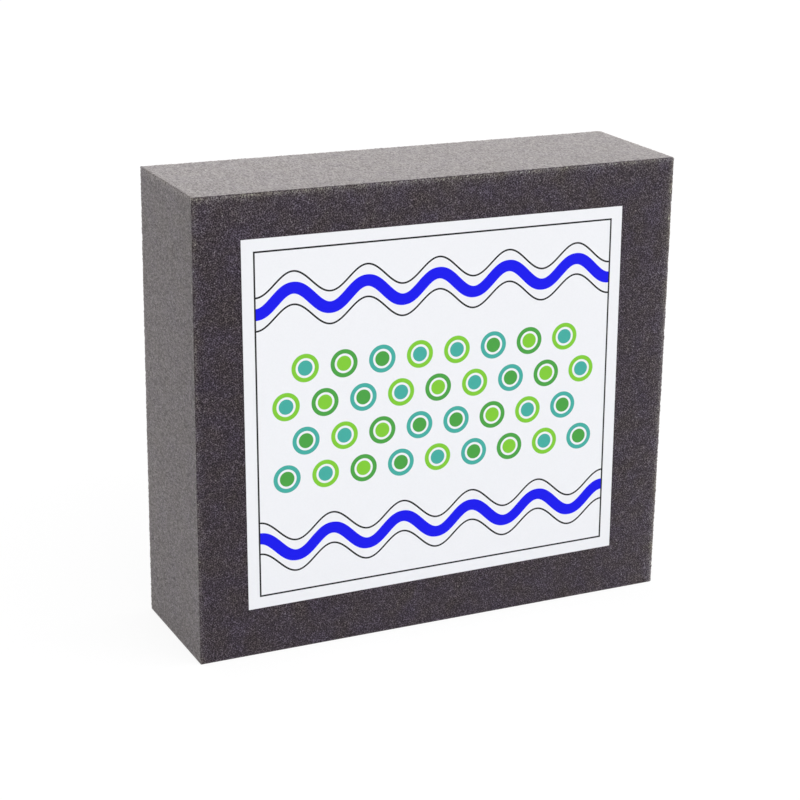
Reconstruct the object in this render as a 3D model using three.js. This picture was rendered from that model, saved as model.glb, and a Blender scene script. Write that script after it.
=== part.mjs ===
// Needle felting mat: a slab of open-cell foam standing on its base, with a paper label on its front.
// Millimetres, +Z up. The origin is the middle of the slab's base, and the label faces -Y.
import * as THREE from 'three';

// Foam slab
const PAD_WIDTH = 203.2;
const PAD_HEIGHT = 183.4;
const PAD_THICKNESS = 58;
const RIM_EASE = 0.4; // softening of the cut edges round the two large faces
const FACE_CORNER = 0.2; // corner radius of the flat part of each large face
const TOP_SAG = 0.1; // dip of the soft top at mid width
const SIDE_BULGE = 0.1; // outward bow of each side at mid height

// Paper label and the glue film behind it
const LABEL_MARGIN_LEFT = 19.2; // bare foam between each edge of the front and the label
const LABEL_MARGIN_RIGHT = 22.5;
const LABEL_MARGIN_BOTTOM = 19.5;
const LABEL_MARGIN_TOP = 17.3;
const LABEL_THICKNESS = 0.125;
const GLUE_THICKNESS = 0.0625;
const GLUE_SETBACK = 1; // strip of paper left without glue along the label's edges

// Steps in each rounded corner, bow and eased edge
const CURVE_STEPS = 6;
const EASE_STEPS = 4;

const labelWidth = PAD_WIDTH - LABEL_MARGIN_LEFT - LABEL_MARGIN_RIGHT;
const labelHeight = PAD_HEIGHT - LABEL_MARGIN_BOTTOM - LABEL_MARGIN_TOP;
const labelCentreX = (LABEL_MARGIN_LEFT - LABEL_MARGIN_RIGHT) / 2;
const labelCentreZ = LABEL_MARGIN_BOTTOM + labelHeight / 2;

// Outline of the slab seen from the front: a flat base, bowed sides, a sagging top and rounded corners.
function padOutline() {
  const radius = FACE_CORNER + RIM_EASE;
  const side = PAD_WIDTH / 2;
  const inset = side - radius;
  const shoulder = PAD_HEIGHT - radius;
  const bow = side + 2 * SIDE_BULGE; // a quadratic curve reaches half way to its control point
  const dip = PAD_HEIGHT - 2 * TOP_SAG;
  const outline = new THREE.Shape();
  outline.moveTo(-inset, 0);
  outline.lineTo(inset, 0);
  outline.absarc(inset, radius, radius, -Math.PI / 2, 0);
  outline.quadraticCurveTo(bow, PAD_HEIGHT / 2, side, shoulder);
  outline.absarc(inset, shoulder, radius, 0, Math.PI / 2);
  outline.quadraticCurveTo(0, dip, -inset, PAD_HEIGHT);
  outline.absarc(-inset, shoulder, radius, Math.PI / 2, Math.PI);
  outline.quadraticCurveTo(-bow, PAD_HEIGHT / 2, -side, radius);
  outline.absarc(-inset, radius, radius, Math.PI, 1.5 * Math.PI);
  return outline;
}

// Foam slab behind the front plane, with all its edges eased.
function padGeometry() {
  const geometry = new THREE.ExtrudeGeometry(padOutline(), {
    depth: PAD_THICKNESS - 2 * RIM_EASE,
    curveSegments: CURVE_STEPS,
    bevelThickness: RIM_EASE,
    bevelSize: RIM_EASE,
    bevelOffset: -RIM_EASE,
    bevelSegments: EASE_STEPS,
  });
  return geometry.translate(0, 0, RIM_EASE - PAD_THICKNESS);
}

// Flat rectangular film centred on its own origin, standing out by its thickness.
function filmGeometry(width, height, thickness) {
  const outline = new THREE.Shape();
  outline.moveTo(-width / 2, -height / 2);
  outline.lineTo(width / 2, -height / 2);
  outline.lineTo(width / 2, height / 2);
  outline.lineTo(-width / 2, height / 2);
  return new THREE.ExtrudeGeometry(outline, { depth: thickness, bevelEnabled: false });
}

function namedMesh(name, geometry, look) {
  const mesh = new THREE.Mesh(geometry, new THREE.MeshStandardMaterial({ metalness: 0, ...look }));
  mesh.name = name;
  return mesh;
}

const foamBlock = namedMesh('foam_block', padGeometry(), { color: 0x464045, roughness: 0.95 });

const labelAdhesive = namedMesh(
  'label_adhesive',
  filmGeometry(labelWidth - 2 * GLUE_SETBACK, labelHeight - 2 * GLUE_SETBACK, GLUE_THICKNESS),
  { color: 0xe6e1d2, roughness: 0.35 },
);
labelAdhesive.position.set(labelCentreX, labelCentreZ, 0);

const labelSheet = namedMesh(
  'label_sheet',
  filmGeometry(labelWidth, labelHeight, LABEL_THICKNESS),
  { color: 0xf3f4f8, roughness: 0.7 },
);
labelSheet.position.set(labelCentreX, labelCentreZ, GLUE_THICKNESS);

// The pieces are set out in the plane of the front face: x across, y up and z out of the foam.
const frontPlane = new THREE.Group();
frontPlane.rotation.x = Math.PI / 2;
frontPlane.position.y = -PAD_THICKNESS / 2;
frontPlane.add(foamBlock, labelAdhesive, labelSheet);

const feltingMat = new THREE.Group();
feltingMat.add(frontPlane);

export default feltingMat;
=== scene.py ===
"""Looks of a needle felting mat: a slab of open-cell foam with a printed paper label. Metres, +Z up."""
import math

import bpy
import numpy as np
from mathutils import Matrix, Vector, geometry, noise


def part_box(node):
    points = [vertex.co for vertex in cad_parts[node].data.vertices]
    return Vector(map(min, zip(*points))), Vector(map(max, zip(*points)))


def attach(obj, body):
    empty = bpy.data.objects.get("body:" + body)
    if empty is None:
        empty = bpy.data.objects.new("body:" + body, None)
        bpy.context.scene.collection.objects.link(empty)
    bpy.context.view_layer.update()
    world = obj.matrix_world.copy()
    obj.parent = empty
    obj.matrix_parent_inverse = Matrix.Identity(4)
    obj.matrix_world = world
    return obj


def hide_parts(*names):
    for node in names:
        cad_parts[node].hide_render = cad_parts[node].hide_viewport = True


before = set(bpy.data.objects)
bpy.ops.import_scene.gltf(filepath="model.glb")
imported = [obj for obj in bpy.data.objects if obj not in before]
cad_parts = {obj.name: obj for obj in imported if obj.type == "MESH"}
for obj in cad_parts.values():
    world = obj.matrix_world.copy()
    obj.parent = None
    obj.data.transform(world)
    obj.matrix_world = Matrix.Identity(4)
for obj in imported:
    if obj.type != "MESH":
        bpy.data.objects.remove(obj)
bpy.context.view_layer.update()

MM = 0.001
FOAM_LOW, FOAM_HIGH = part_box("foam_block")
LABEL_LOW, LABEL_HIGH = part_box("label_sheet")

# Values of a noise texture that are taken as its lowest and highest
NOISE_LOW = 0.3
NOISE_HIGH = 0.7


# Nodes, materials and meshes

def add_node(tree, kind, inputs=None, **settings):
    """A new node with its settings and inputs; an input is a constant or another node's output."""
    made = tree.nodes.new(kind)
    for name, value in settings.items():
        setattr(made, name, value)
    for key, value in (inputs or {}).items():
        if isinstance(value, bpy.types.NodeSocket):
            tree.links.new(value, made.inputs[key])
        else:
            made.inputs[key].default_value = value
    return made


def math_node(tree, operation, *values):
    return add_node(tree, "ShaderNodeMath", dict(enumerate(values)), operation=operation).outputs[0]


def vector_node(tree, operation, *values):
    return add_node(tree, "ShaderNodeVectorMath", dict(enumerate(values)), operation=operation).outputs[0]


def span_node(tree, value, low, high, to_low=0.0, to_high=1.0):
    """Value carried from one span to another, and held at its ends."""
    ends = {0: value, 1: low, 2: high, 3: to_low, 4: to_high}
    return add_node(tree, "ShaderNodeMapRange", ends, clamp=True).outputs[0]


def noise_span(tree, value, to_low=0.0, to_high=1.0):
    """A noise texture's value carried to a span."""
    return span_node(tree, value, NOISE_LOW, NOISE_HIGH, to_low, to_high)


def mix_colour(tree, share, first, second, blend="MIX"):
    """Two colours mixed by a share. Sockets 6 and 7 are the mix node's inputs for colours."""
    sockets = {0: share, 6: first, 7: second}
    return add_node(tree, "ShaderNodeMix", sockets, data_type="RGBA", blend_type=blend).outputs[2]


def noise_node(tree, place, size, detail):
    """Outputs of a soft noise with patches of a size: a value, then a colour."""
    inputs = {"Vector": place, "Scale": 1 / size, "Detail": detail}
    return add_node(tree, "ShaderNodeTexNoise", inputs).outputs


def cell_node(tree, place, size, feature="F1", scatter=1.0):
    """Outputs of a pattern of random cells that fill space."""
    inputs = {"Vector": place, "Scale": 1 / size, "Randomness": scatter}
    return add_node(tree, "ShaderNodeTexVoronoi", inputs, voronoi_dimensions="3D", feature=feature).outputs


def split_colour(tree, colour):
    return add_node(tree, "ShaderNodeSeparateColor", {"Color": colour}).outputs


def object_place(tree):
    return add_node(tree, "ShaderNodeTexCoord").outputs["Object"]


def mesh_values(tree, name):
    """Outputs that read the values a mesh carries at its points."""
    return add_node(tree, "ShaderNodeAttribute", attribute_name=name).outputs


def new_material(name):
    material = bpy.data.materials.new(name)
    material.use_nodes = True
    material.node_tree.nodes.clear()
    return material, material.node_tree


def finish_material(tree, shader):
    add_node(tree, "ShaderNodeOutputMaterial", {"Surface": shader.outputs[0]})


def new_piece(name, points, faces, material, smooth=True):
    mesh = bpy.data.meshes.new(name)
    mesh.from_pydata(np.asarray(points).tolist(), [], np.asarray(faces).tolist())
    mesh.polygons.foreach_set("use_smooth", [smooth] * len(mesh.polygons))
    mesh.materials.append(material)
    mesh.update()
    piece = bpy.data.objects.new(name, mesh)
    bpy.context.scene.collection.objects.link(piece)
    return piece


# Camera of the photograph, found from the slab's corners

CAMERA_PLACE = Vector((-0.34006, -0.69736, 0.34066))
CAMERA_TURN = math.radians(-25.722)
CAMERA_DROP = math.radians(18.200)
CAMERA_ROLL = math.radians(0.906)
SENSOR_WIDTH = 36.0
LENS = 90.847
CLIP_START = 0.01


def add_camera():
    data = bpy.data.cameras.new("camera")
    data.sensor_width = SENSOR_WIDTH
    data.lens = LENS
    data.clip_start = CLIP_START
    camera = bpy.data.objects.new("camera", data)
    bpy.context.scene.collection.objects.link(camera)
    turn = Matrix.Rotation(CAMERA_TURN, 4, "Z")
    tilt = Matrix.Rotation(math.pi / 2 - CAMERA_DROP, 4, "X")
    roll = Matrix.Rotation(CAMERA_ROLL, 4, "Z")
    camera.matrix_world = Matrix.Translation(CAMERA_PLACE) @ turn @ tilt @ roll
    bpy.context.scene.camera = camera


# Lamps, world and floor

# The direction that each lamp shines from, and its strength
LAMPS = {
    "back_light": ((-0.05, 0.8, 0.6), 0.5),
    "front_light": ((0.3, -0.85, 0.4), 1.13),
    "right_light": ((0.9, -0.3, 0.3), 1.28),
}
LAMP_SPREAD = math.radians(60)
WORLD_LIGHT = 0.522
WHITE = (1, 1, 1, 1)

# Open floor shows white: FLOOR_LEVEL is the light on it, and FLOOR_SHADE the most that a shadow takes away
FLOOR_LEVEL = 0.72
FLOOR_SHADE = 0.12
FLOOR_COLOUR = (0.8, 0.8, 0.8, 1)
FLOOR_REACH = 40.0


def add_lamps():
    """Soft distant lamps."""
    for name, (towards, strength) in LAMPS.items():
        data = bpy.data.lights.new(name, "SUN")
        data.energy = strength
        data.angle = LAMP_SPREAD
        lamp = bpy.data.objects.new(name, data)
        lamp.rotation_euler = Vector(towards).to_track_quat("Z", "Y").to_euler()
        bpy.context.scene.collection.objects.link(lamp)


def background_rays(tree):
    """1 for rays that show the surroundings: straight from the camera, off gloss or through glass."""
    path = add_node(tree, "ShaderNodeLightPath").outputs
    glossy = math_node(tree, "MAXIMUM", path["Is Glossy Ray"], path["Is Transmission Ray"])
    return math_node(tree, "MAXIMUM", path["Is Camera Ray"], glossy)


def shown_shader(tree, lighting, shown):
    """One shader for the rays that light the object, another for those that show the surroundings."""
    inputs = {0: background_rays(tree), 1: lighting.outputs[0], 2: shown.outputs[0]}
    return add_node(tree, "ShaderNodeMixShader", inputs)


def add_world():
    world = bpy.data.worlds.new("studio")
    bpy.context.scene.world = world
    world.use_nodes = True
    tree = world.node_tree
    tree.nodes.clear()
    light = add_node(tree, "ShaderNodeBackground", {"Color": WHITE, "Strength": WORLD_LIGHT})
    backdrop = add_node(tree, "ShaderNodeBackground", {"Color": WHITE, "Strength": 1.0})
    mixed = shown_shader(tree, light, backdrop)
    add_node(tree, "ShaderNodeOutputWorld", {"Surface": mixed.outputs[0]})


def add_floor():
    material, tree = new_material("floor")
    plain = add_node(tree, "ShaderNodeBsdfDiffuse", {"Color": FLOOR_COLOUR})
    level = FLOOR_SHADE / FLOOR_LEVEL
    shaded = add_node(tree, "ShaderNodeBsdfDiffuse", {"Color": (level, level, level, 1)})
    white = add_node(tree, "ShaderNodeEmission", {"Color": WHITE, "Strength": 1 - FLOOR_SHADE})
    seen = add_node(tree, "ShaderNodeAddShader", {0: shaded.outputs[0], 1: white.outputs[0]})
    finish_material(tree, shown_shader(tree, plain, seen))
    reach = FLOOR_REACH
    corners = [(-reach, -reach, 0), (reach, -reach, 0), (reach, reach, 0), (-reach, reach, 0)]
    new_piece("floor", corners, [(0, 1, 2, 3)], material)


# Foam, as a material

# Cells: drawn out along the slab's depth, and turned away from its faces
CELL_SIZE = 0.66 * MM
CELL_SCATTER = 0.75
CELL_STRETCH = 1.6
CELL_TURN = (0.6, 0.35, 0.9)

# Cell walls, with the joins and pits by their distance from a cell's middle, all in cells
WALL_WIDTH = 0.16
WALL_LIGHT = 0.12
JOIN_START = 0.4
JOIN_END = 0.8
JOIN_POWER = 2.0
PIT_START = 0.25
PIT_END = 0.55
PIT_DARK = 0.28

# Cut strand ends: how light they are at random, the painted glints on a few of them, and how far they tip
GRAIN_SIZE = 0.32 * MM
GRAIN_DARK = 0.25
GRAIN_LIGHT = 1.75
PAINTED_GLINT_START = 0.97
PAINTED_GLINT_LIGHT = 2.0
STRAND_SIZE = 0.5 * MM
STRAND_STRETCH = 2.0
STRAND_TIP = 0.155

# Faint blotches of light and of blue
BLOTCH_SIZE = 9 * MM
BLOTCH_DETAIL = 3.0
BLOTCH_LIGHT = 0.05
BLOTCH_BLUE = 0.14

# Colours and finish
# FOAM_PORE: the foam's dark dye, darkened further by painted shade inside the open cells
FOAM_PORE = (0.047, 0.0358, 0.047, 1)
FOAM_STRAND = (0.158, 0.122, 0.158, 1)
# Pale colour of the painted light on the fuzz along the edges
FOAM_PAINTED_RIM = (0.43, 0.39, 0.37, 1)
GREEN_POWER = 1.15
FOAM_FINISH = {
    "Roughness": 0.9,
    "Specular IOR Level": 0.2,
    "Diffuse Roughness": 1.0,
    "Sheen Weight": 0.96,
    "Sheen Roughness": 0.4,
    "Sheen Tint": (1.0, 0.95, 0.925, 1),
}


def cell_walls(tree, place):
    """The cut walls of the cells, brightest where three cells meet, and the shade in the cells' pits."""
    edge = cell_node(tree, place, CELL_SIZE, "DISTANCE_TO_EDGE", CELL_SCATTER)["Distance"]
    middle = cell_node(tree, place, CELL_SIZE, "F1", CELL_SCATTER)["Distance"]
    wall = span_node(tree, edge, 0.0, WALL_WIDTH, 1.0, 0.0)
    join = math_node(tree, "POWER", span_node(tree, middle, JOIN_START, JOIN_END), JOIN_POWER)
    light = span_node(tree, join, 0.0, 1.0, WALL_LIGHT, 1.0)
    shade = span_node(tree, middle, PIT_START, PIT_END, PIT_DARK, 1.0)
    return math_node(tree, "MULTIPLY", wall, light), shade


def strand_tone_and_painted_glint(tree, place):
    """How light each cut strand end is, at random from one to the next, with painted glints on a few of
    them.
    """
    chance = split_colour(tree, cell_node(tree, place, GRAIN_SIZE)["Color"])
    grain = span_node(tree, chance[0], 0.0, 1.0, GRAIN_DARK, GRAIN_LIGHT)
    # Painted highlight: a few strand ends glint
    painted_glint = span_node(tree, chance[1], PAINTED_GLINT_START, 1.0, 0.0, PAINTED_GLINT_LIGHT)
    return math_node(tree, "ADD", grain, painted_glint)


def foam_colour(tree, coordinates):
    """Colour of the cut cells with faint blotches, and with painted light and shade: glints on a few
    strand ends, shade in the pits, pale lit fuzz along the slab's edges, and the front lighter near its
    top and right edges.
    """
    drawn = vector_node(tree, "MULTIPLY", coordinates, (1, 1 / CELL_STRETCH, 1))
    turn = {"Vector": drawn, "Rotation": CELL_TURN}
    place = add_node(tree, "ShaderNodeVectorRotate", turn, rotation_type="EULER_XYZ").outputs[0]
    walls, shade = cell_walls(tree, place)
    blotch = noise_node(tree, place, BLOTCH_SIZE, BLOTCH_DETAIL)
    drift = noise_span(tree, blotch[0], 1 - BLOTCH_LIGHT, 1 + BLOTCH_LIGHT)
    level = math_node(tree, "MULTIPLY", strand_tone_and_painted_glint(tree, place), drift)
    level = math_node(tree, "MULTIPLY", level, shade)
    # Painted light: the front lighter near its top and right edges, as if light came through the foam from
    # the lit faces
    level = math_node(tree, "MULTIPLY_ADD", level, mesh_values(tree, "painted_glow")["Fac"], level)
    green = math_node(tree, "POWER", level, GREEN_POWER)
    cool = noise_span(tree, split_colour(tree, blotch["Color"])[2], 1 - BLOTCH_BLUE, 1 + BLOTCH_BLUE)
    blue = math_node(tree, "MULTIPLY", level, cool)
    light = add_node(tree, "ShaderNodeCombineColor", {0: level, 1: green, 2: blue}).outputs[0]
    colour = mix_colour(tree, walls, FOAM_PORE, FOAM_STRAND)
    # Painted light: pale fuzz along the edges, as lit by the face across each edge
    colour = mix_colour(tree, mesh_values(tree, "rim")["Fac"], colour, FOAM_PAINTED_RIM)
    return mix_colour(tree, 1.0, colour, light, "MULTIPLY")


def tipped_normal(tree, coordinates):
    """The normal of the cut face, tipped a little at random from one strand end to the next."""
    along = vector_node(tree, "MULTIPLY", coordinates, (1, 1 / STRAND_STRETCH, 1))
    chance = cell_node(tree, along, STRAND_SIZE)["Color"]
    tip = vector_node(tree, "SUBTRACT", chance, (0.5, 0.5, 0.5))
    straight = add_node(tree, "ShaderNodeNewGeometry").outputs["Normal"]
    tipped = vector_node(tree, "MULTIPLY_ADD", tip, [STRAND_TIP] * 3, straight)
    return vector_node(tree, "NORMALIZE", tipped)


def foam_material():
    material, tree = new_material("foam")
    coordinates = object_place(tree)
    shader = add_node(tree, "ShaderNodeBsdfPrincipled", {
        "Base Color": foam_colour(tree, coordinates),
        "Normal": tipped_normal(tree, coordinates),
        **FOAM_FINISH,
    })
    finish_material(tree, shader)
    return material


# Foam slab, as a mesh

# Where the cut isn't true: bowed sides, a top that sags and falls to the front, a front that leans
SIDE_BULGE = 0.1 * MM
TOP_SAG = 0.1 * MM
TOP_FALL = 0.2 * MM
FRONT_LEAN = 0.3 * MM
EDGE_RADIUS = 0.3 * MM

# Spacing of the points: close along the edges, wider on hidden faces and under the label
EDGE_PITCH = 0.5 * MM
EDGE_BAND = 1.2 * MM
SIDE_PITCH = 0.48 * MM
FRONT_PITCH = 1.0 * MM
BACK_PITCH = 1.7 * MM
BASE_PITCH = 2.5 * MM
COVERED_PITCH = 6.4 * MM
COVERED_LAP = 3.0 * MM
POINT_JITTER = 0.3
DEPTH_STRETCH = 3.5
FLAT_TOLERANCE = 1e-9
JOIN_TOLERANCE = 1e-7
FOAM_SEED = 41

# Roughness of the cut, the loose fuzz along the edges, and how far in the painted light along the edges
# reaches
CUT_RELIEF = 0.04 * MM
RIM_FUZZ = 0.08 * MM
RIM_FADE = 0.85 * MM
FUZZ_LIMIT = 2
PAINTED_GLOW_REACH = 25 * MM

# Painted light along an edge by the face across it, in the order right, back, top, left, front and base:
# pale lit fuzz on the edge, and the front lighter near it as if light came through the foam
PAINTED_RIM_WEIGHTS = (0.66, 0.22, 0.55, 0.25, 0.1, 0.0)
PAINTED_GLOW_WEIGHTS = (0.32, 0.0, 0.34, 0.0, 0.0, 0.0)

# How much of the painted light on the fuzz shows on each face, in the same order
PAINTED_RIM_FACES = (1.6, 1.0, 1.6, 1.6, 1.0, 1.0)
FRONT_FACE = 4


def edge_marks(half):
    """Evenly spaced places along an edge, the same for the two faces that meet there."""
    return np.linspace(-half, half, round(2 * half / EDGE_PITCH) + 1)


def lattice(half_u, half_v, pitch, rng):
    """A jittered grid of points over a face, with a pitch for each direction."""
    us = np.arange(-half_u + pitch[0] / 2, half_u, pitch[0])
    vs = np.arange(-half_v + pitch[1] / 2, half_v, pitch[1])
    grid = np.stack(np.meshgrid(us, vs), -1).reshape(-1, 2)
    return grid + rng.uniform(-POINT_JITTER, POINT_JITTER, grid.shape) * pitch


def inside(points, box):
    """Which points lie in a rectangle given by its lowest and highest corner."""
    return ((points > box[0]) & (points < box[1])).all(1)


def face_points(half_u, half_v, pitch, covered, rng):
    """Points over one cut face: its rim, a close band inside it, the open face, few under the label."""
    us, vs = edge_marks(half_u), edge_marks(half_v)
    found = [np.stack([us, np.full_like(us, v)], 1) for v in (-half_v, half_v)]
    found += [np.stack([np.full_like(vs, u), vs], 1)[1:-1] for u in (-half_u, half_u)]
    close = np.full(2, EDGE_PITCH)
    for step, start, stop in ((close, EDGE_PITCH / 2, EDGE_BAND), (pitch, EDGE_BAND, math.inf)):
        grid = lattice(half_u, half_v, step, rng)
        depth = np.minimum(half_u - abs(grid[:, 0]), half_v - abs(grid[:, 1]))
        band = grid[(depth > start) & (depth <= stop)]
        found.append(band if covered is None else band[~inside(band, covered)])
    if covered is not None:
        grid = lattice(half_u, half_v, np.full(2, COVERED_PITCH), rng)
        found.append(grid[inside(grid, covered)])
    return np.concatenate(found)


def flat_slab(half, covered):
    """Points and triangles of a flat-sided slab about its centre, its six faces joined at their rims."""
    rng = np.random.default_rng(FOAM_SEED)
    points, triangles, count = [], [], 0
    spacing = ((SIDE_PITCH, SIDE_PITCH), (FRONT_PITCH, BACK_PITCH), (BASE_PITCH, SIDE_PITCH))
    for axis in range(3):
        u, v = (axis + 1) % 3, (axis + 2) % 3
        stretch = np.where(np.array([u, v]) == 1, DEPTH_STRETCH, 1.0)
        for side, pitch in zip((-1, 1), spacing[axis]):
            front = axis == 1 and side == -1
            hidden = covered[:, [u, v]] if front else None
            flat = face_points(half[u], half[v], pitch * stretch, hidden, rng)
            made = geometry.delaunay_2d_cdt([Vector(p) for p in flat], [], [], 0, FLAT_TOLERANCE)
            solid = np.empty((len(made[0]), 3))
            solid[:, axis] = side * half[axis]
            solid[:, [u, v]] = flat[[origin[0] for origin in made[3]]]
            points.append(solid)
            triangles.append(np.array(made[2])[:, ::side] + count)
            count += len(solid)
    points, triangles = np.concatenate(points), np.concatenate(triangles)
    places = np.round(points / JOIN_TOLERANCE).astype(np.int64)
    _, first, joined = np.unique(places, axis=0, return_index=True, return_inverse=True)
    return points[first], joined.reshape(-1)[triangles]


def painted_rim_light(flat, half):
    """Painted light at each point, from its distance to the edges of its own face: pale lit fuzz, and the
    front lighter near its top and right edges.
    """
    apart = np.concatenate([half - flat, half + flat], 1)
    own_face = apart.argmin(1)
    apart[np.arange(len(flat)), own_face] = math.inf
    fuzz = (PAINTED_RIM_WEIGHTS * np.exp(-apart / RIM_FADE)).max(1) * np.array(PAINTED_RIM_FACES)[own_face]
    painted_glow = (PAINTED_GLOW_WEIGHTS * np.exp(-apart / PAINTED_GLOW_REACH)).max(1) * (own_face == FRONT_FACE)
    return fuzz, painted_glow


def cut_surface(flat, half):
    """The slab's points with softened edges, cut relief, and fuzz along every edge but the base's."""
    rng = np.random.default_rng(FOAM_SEED + 1)
    inner = half - EDGE_RADIUS
    core = np.clip(flat, -inner, inner)
    outward = flat - core
    outward /= np.linalg.norm(outward, axis=1)[:, None]
    near_edge = np.exp(-np.sort(half - abs(flat), 1)[:, 1] / RIM_FADE)
    relief = CUT_RELIEF * (rng.random(len(flat)) - 0.5) * (1 - near_edge)
    pressed = np.exp(-(flat[:, 2] + half[2]) / RIM_FADE)
    loose = rng.standard_normal(len(flat)).clip(-FUZZ_LIMIT, FUZZ_LIMIT)
    fuzz = RIM_FUZZ * near_edge * (1 - pressed) * loose
    return core + outward * (EDGE_RADIUS + relief + fuzz)[:, None]


def bend_slab(points, half):
    """Moves the points where the cut isn't true."""
    wide, deep, tall = (points / half).T
    points[:, 0] += SIDE_BULGE * wide * (1 - tall**2) - FRONT_LEAN * tall * (1 - deep) / 2
    points[:, 2] += (TOP_FALL * deep - TOP_SAG * (1 - wide**2)) * (1 + tall) / 2


def build_foam():
    low, high = np.array(FOAM_LOW), np.array(FOAM_HIGH)
    half = (high - low) / 2 - (SIDE_BULGE, 0, 0)
    centre = (high + low) / 2
    lap = np.array((COVERED_LAP, 0, COVERED_LAP))
    covered = np.stack([np.array(LABEL_LOW) + lap, np.array(LABEL_HIGH) - lap]) - centre
    flat, triangles = flat_slab(half, covered)
    shaped = cut_surface(flat, half)
    bend_slab(shaped, half)
    shaped += centre
    # No point comes out through the glue and label, or below the base
    shaped[:, 1:] = np.maximum(shaped[:, 1:], low[1:])
    foam = new_piece("foam_slab", shaped, triangles, foam_material())
    # The mesh carries the painted light at its points: pale lit fuzz on the edges, and the front lighter
    # near its top and right edges
    for name, values in zip(("rim", "painted_glow"), painted_rim_light(flat, half)):
        foam.data.attributes.new(name, "FLOAT", "POINT").data.foreach_set("value", values)
    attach(foam, "root")
    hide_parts("foam_block")


# Paper label, as a material

PAPER_LIGHT = (0.892, 0.901, 0.934, 1)
PAPER_DARK = (0.872, 0.881, 0.914, 1)
PAPER_FINISH = {"Roughness": 0.7, "Specular IOR Level": 0.2}
FIBRE_SIZE = 0.6 * MM
FIBRE_DETAIL = 4.0
FIBRE_BUMP = 0.15
FIBRE_HEIGHT = 0.02 * MM
BLACK_INK = (0.012, 0.012, 0.013, 1)
BLUE_INK = (0.004, 0.004, 0.86, 1)
LIME_INK = (0.224, 0.604, 0.04, 1)
GREEN_INK = (0.07, 0.36, 0.06, 1)
TEAL_INK = (0.06, 0.42, 0.36, 1)

# Printed design, in millimetres from the middle of the label
INK_EDGE = 0.04
FRAME_INSET = 5.0
FRAME_LINE = 0.7
WAVE_PLACE = 49.0
WAVE_LENGTH = 30.2
WAVE_SWING = 4.5
WAVE_LINE = 4.6
RIPPLE_GAP = 6.4
RIPPLE_LINE = 0.7
DOT_PITCH = 16.0
DOT_ROW = 14.5
DOT_RADIUS = 5.6
DOT_RING = 3.9
DOT_CORE = 3.0
DOT_REACH = 66.0
DOT_ROWS = 29.0

# Inks of the dots, one for each tone
RING_INKS = (GREEN_INK, LIME_INK, TEAL_INK)
CORE_INKS = (LIME_INK, TEAL_INK, GREEN_INK)


def stroke(tree, distance, width):
    """1 on a printed line, from the distance to its middle, with a soft ink edge."""
    away = math_node(tree, "ABSOLUTE", distance)
    return span_node(tree, away, width / 2 - INK_EDGE, width / 2 + INK_EDGE, 1.0, 0.0)


def wave_lines(tree, across, height):
    """A thick wavy line, and a thin one each side of it."""
    turn = 2 * math.pi / WAVE_LENGTH
    phase = math_node(tree, "MULTIPLY", across, turn)
    crest = math_node(tree, "MULTIPLY", math_node(tree, "COSINE", phase), WAVE_SWING)
    slope = math_node(tree, "MULTIPLY", math_node(tree, "SINE", phase), WAVE_SWING * turn)
    stretch = math_node(tree, "SQRT", math_node(tree, "MULTIPLY_ADD", slope, slope, 1.0))
    above = math_node(tree, "SUBTRACT", math_node(tree, "SUBTRACT", height, WAVE_PLACE), crest)
    away = math_node(tree, "DIVIDE", above, stretch)
    beside = math_node(tree, "SUBTRACT", math_node(tree, "ABSOLUTE", above), RIPPLE_GAP)
    beside = math_node(tree, "DIVIDE", beside, stretch)
    return stroke(tree, away, WAVE_LINE), stroke(tree, beside, RIPPLE_LINE)


def dot_rows(tree, side, up):
    """Staggered rows of round dots: the outer ring, the inner core, and which of the tones each has."""
    row = math_node(tree, "FLOOR", math_node(tree, "DIVIDE", up, DOT_ROW))
    middle = math_node(tree, "MULTIPLY", math_node(tree, "ADD", row, 0.5), DOT_ROW)
    shift = math_node(tree, "MULTIPLY", math_node(tree, "FLOORED_MODULO", row, 2.0), DOT_PITCH / 2)
    along = math_node(tree, "DIVIDE", math_node(tree, "SUBTRACT", side, shift), DOT_PITCH)
    column = math_node(tree, "FLOOR", math_node(tree, "ADD", along, 0.5))
    centre = math_node(tree, "MULTIPLY_ADD", column, DOT_PITCH, shift)
    dx = math_node(tree, "SUBTRACT", side, centre)
    dy = math_node(tree, "SUBTRACT", up, middle)
    square = math_node(tree, "MULTIPLY_ADD", dx, dx, math_node(tree, "MULTIPLY", dy, dy))
    away = math_node(tree, "SQRT", square)
    in_rows = math_node(tree, "LESS_THAN", math_node(tree, "ABSOLUTE", up), DOT_ROWS)
    printed = math_node(tree, "MULTIPLY", math_node(tree, "LESS_THAN", centre, DOT_REACH), in_rows)
    ring_away = math_node(tree, "SUBTRACT", away, (DOT_RADIUS + DOT_RING) / 2)
    ring = math_node(tree, "MULTIPLY", stroke(tree, ring_away, DOT_RADIUS - DOT_RING), printed)
    core = math_node(tree, "MULTIPLY", stroke(tree, away, 2 * DOT_CORE), printed)
    tone = math_node(tree, "FLOORED_MODULO", math_node(tree, "ADD", column, row), len(RING_INKS))
    return ring, core, tone


def pick_ink(tree, tone, inks):
    """The ink that a whole number from 0 picks."""
    colour = inks[0]
    for number, ink in enumerate(inks[1:], 1):
        chosen = math_node(tree, "COMPARE", tone, number, 0.5)
        colour = mix_colour(tree, chosen, colour, ink)
    return colour


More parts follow.
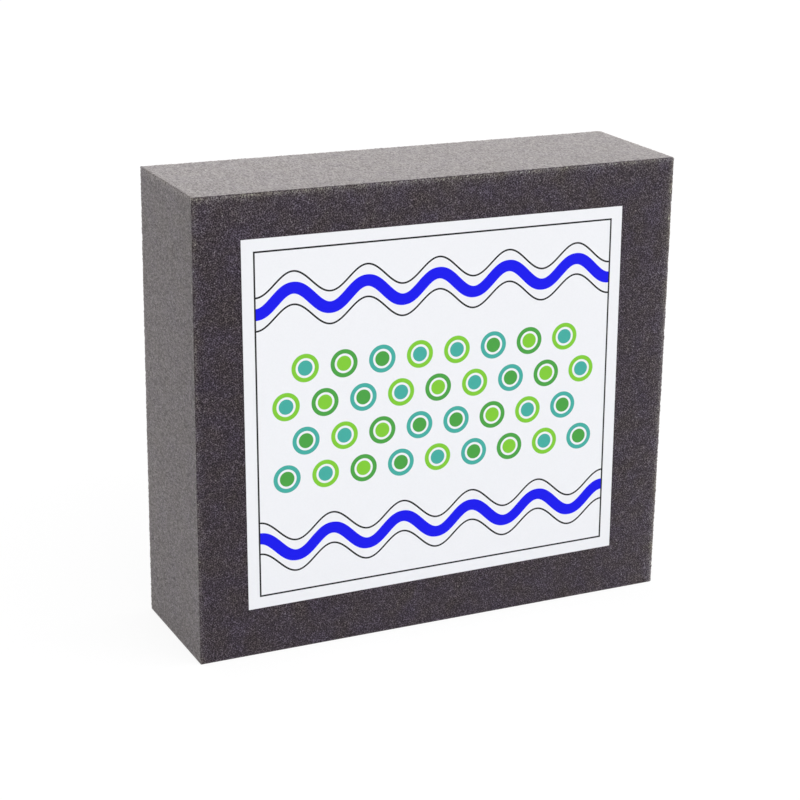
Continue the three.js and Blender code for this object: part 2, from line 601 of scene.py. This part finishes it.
def printed_colour(tree, paper):
    """Paper with a frame line, wavy lines along the top and bottom, and rows of dots between them."""
    half = (np.array(LABEL_HIGH) - np.array(LABEL_LOW)) / 2 / MM
    place = mesh_values(tree, "print_place")["Vector"]
    across, _, up = add_node(tree, "ShaderNodeSeparateXYZ", {0: place}).outputs
    side = math_node(tree, "ABSOLUTE", across)
    height = math_node(tree, "ABSOLUTE", up)
    edge = math_node(tree, "MAXIMUM", math_node(tree, "SUBTRACT", side, half[0] - FRAME_INSET),
                     math_node(tree, "SUBTRACT", height, half[2] - FRAME_INSET))
    within = math_node(tree, "LESS_THAN", edge, 0.0)
    band, ripple = wave_lines(tree, across, height)
    ring, core, tone = dot_rows(tree, side, up)
    colour = mix_colour(tree, ring, paper, pick_ink(tree, tone, RING_INKS))
    colour = mix_colour(tree, core, colour, pick_ink(tree, tone, CORE_INKS))
    colour = mix_colour(tree, math_node(tree, "MULTIPLY", band, within), colour, BLUE_INK)
    colour = mix_colour(tree, math_node(tree, "MULTIPLY", ripple, within), colour, BLACK_INK)
    return mix_colour(tree, stroke(tree, edge, FRAME_LINE), colour, BLACK_INK)


def paper_material():
    material, tree = new_material("label_paper")
    fibre = noise_node(tree, object_place(tree), FIBRE_SIZE, FIBRE_DETAIL)[0]
    paper = mix_colour(tree, noise_span(tree, fibre), PAPER_DARK, PAPER_LIGHT)
    bump = add_node(tree, "ShaderNodeBump",
                    {"Strength": FIBRE_BUMP, "Distance": FIBRE_HEIGHT, "Height": fibre})
    shader = add_node(tree, "ShaderNodeBsdfPrincipled", {
        "Base Color": printed_colour(tree, paper),
        "Normal": bump.outputs[0],
        **PAPER_FINISH,
    })
    finish_material(tree, shader)
    return material


# Paper label, as a mesh: a thin closed sheet with a slight cockle, leaning and tapering a little

LABEL_PITCH = 2.0 * MM
LABEL_COCKLE = 0.04 * MM
COCKLE_LENGTH = 25 * MM
LABEL_LEAN = math.tan(math.radians(0.75))
LABEL_TAPER = 0.0097


def sheet_faces(across, up):
    """Faces of a closed sheet: a grid of front points, the same grid behind it, and the rim between."""
    count = across * up
    index = np.arange(count).reshape(up, across)
    corners = [index[:-1, :-1], index[:-1, 1:], index[1:, 1:], index[1:, :-1]]
    quads = np.stack(corners, -1).reshape(-1, 4)
    ring = np.concatenate([index[0, :-1], index[:-1, -1], index[-1, :0:-1], index[:0:-1, 0]])
    after = np.roll(ring, -1)
    rim = np.stack([ring, ring + count, after + count, after], 1)
    return np.concatenate([quads, quads[:, ::-1] + count, rim])


def build_label():
    low, high = np.array(LABEL_LOW), np.array(LABEL_HIGH)
    middle, half = (high + low) / 2, (high - low) / 2
    steps = np.round((high - low) / LABEL_PITCH).astype(int)
    xs = np.linspace(low[0], high[0], steps[0] + 1)
    zs = np.linspace(low[2], high[2], steps[2] + 1)
    x, z = (grid.ravel() for grid in np.meshgrid(xs, zs))
    cockle = [abs(noise.noise(Vector((a, 0, b)) / COCKLE_LENGTH)) for a, b in zip(x, z)]
    lift = LABEL_COCKLE * np.array(cockle)
    printed = np.stack([x - middle[0], np.zeros(x.size), z - middle[2]], 1) / MM
    z = middle[2] + (z - middle[2]) * (1 - LABEL_TAPER * (1 + (x - middle[0]) / half[0]) / 2)
    x = x - LABEL_LEAN * (z - middle[2])
    front = np.stack([x, low[1] - lift, z], 1)
    back = np.stack([x, high[1] - lift, z], 1)
    faces = sheet_faces(len(xs), len(zs))
    label = new_piece("label", np.concatenate([front, back]), faces, paper_material(), smooth=False)
    places = label.data.attributes.new("print_place", "FLOAT_VECTOR", "POINT").data
    places.foreach_set("vector", np.concatenate([printed, printed]).ravel())
    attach(label, "root")
    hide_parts("label_sheet")


# Glue film behind the label

GLUE_SMEAR = 4 * MM
GLUE_DETAIL = 4.0
GLUE_DARK = (0.72, 0.68, 0.57, 1)
GLUE_LIGHT = (0.84, 0.8, 0.7, 1)
GLUE_SMOOTH = 0.3
GLUE_ROUGH = 0.45


def glue_material():
    material, tree = new_material("label_glue")
    smear = noise_node(tree, object_place(tree), GLUE_SMEAR, GLUE_DETAIL)[0]
    colour = mix_colour(tree, smear, GLUE_DARK, GLUE_LIGHT)
    rough = noise_span(tree, smear, GLUE_SMOOTH, GLUE_ROUGH)
    shader = add_node(tree, "ShaderNodeBsdfPrincipled", {"Base Color": colour, "Roughness": rough})
    finish_material(tree, shader)
    return material


def dress_glue():
    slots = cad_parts["label_adhesive"].data.materials
    slots.clear()
    slots.append(glue_material())


bpy.context.scene.view_settings.view_transform = "Standard"
add_camera()
add_world()
add_lamps()
add_floor()
build_foam()
build_label()
dress_glue()
